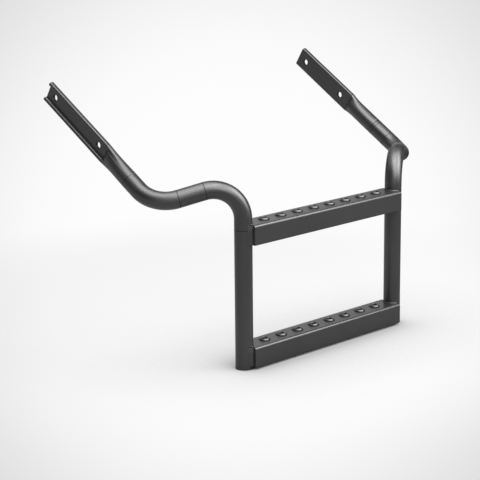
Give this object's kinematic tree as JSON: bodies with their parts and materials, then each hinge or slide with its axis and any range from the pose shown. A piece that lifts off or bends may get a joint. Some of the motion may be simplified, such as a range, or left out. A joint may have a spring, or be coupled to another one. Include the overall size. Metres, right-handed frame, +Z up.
{
  "type": "truck step",
  "caption": "Bolt-on truck step: bent tube side rails with crushed, drilled channel ends carry an upper and a lower punched-grip tread.",
  "frame": {"origin": "on the inner flat of the left mounting pad, midway between its two bolt holes", "axes": "+X to the right along the treads, +Y back towards the vehicle, +Z up"},
  "size_m": [0.8269, 0.4738, 0.5827],
  "materials": {
    "black_powder_coat": "satin black powder coat",
    "plug_rubber": "matte black"
  },
  "bodies": {
    "root": {"left_leg": "black_powder_coat", "left_upper_elbow": "black_powder_coat", "left_link": "black_powder_coat", "left_arm_elbow": "black_powder_coat", "left_arm_stub": "black_powder_coat", "left_arm_taper": "black_powder_coat", "left_mount_channel": "black_powder_coat", "left_foot_plug": "plug_rubber", "right_leg": "black_powder_coat", "right_upper_elbow": "black_powder_coat", "right_link": "black_powder_coat", "right_arm_elbow": "black_powder_coat", "right_arm_stub": "black_powder_coat", "right_arm_taper": "black_powder_coat", "right_mount_channel": "black_powder_coat", "right_foot_plug": "plug_rubber", "upper_tread": "black_powder_coat", "lower_tread": "black_powder_coat"}
  },
  "joints": []
}
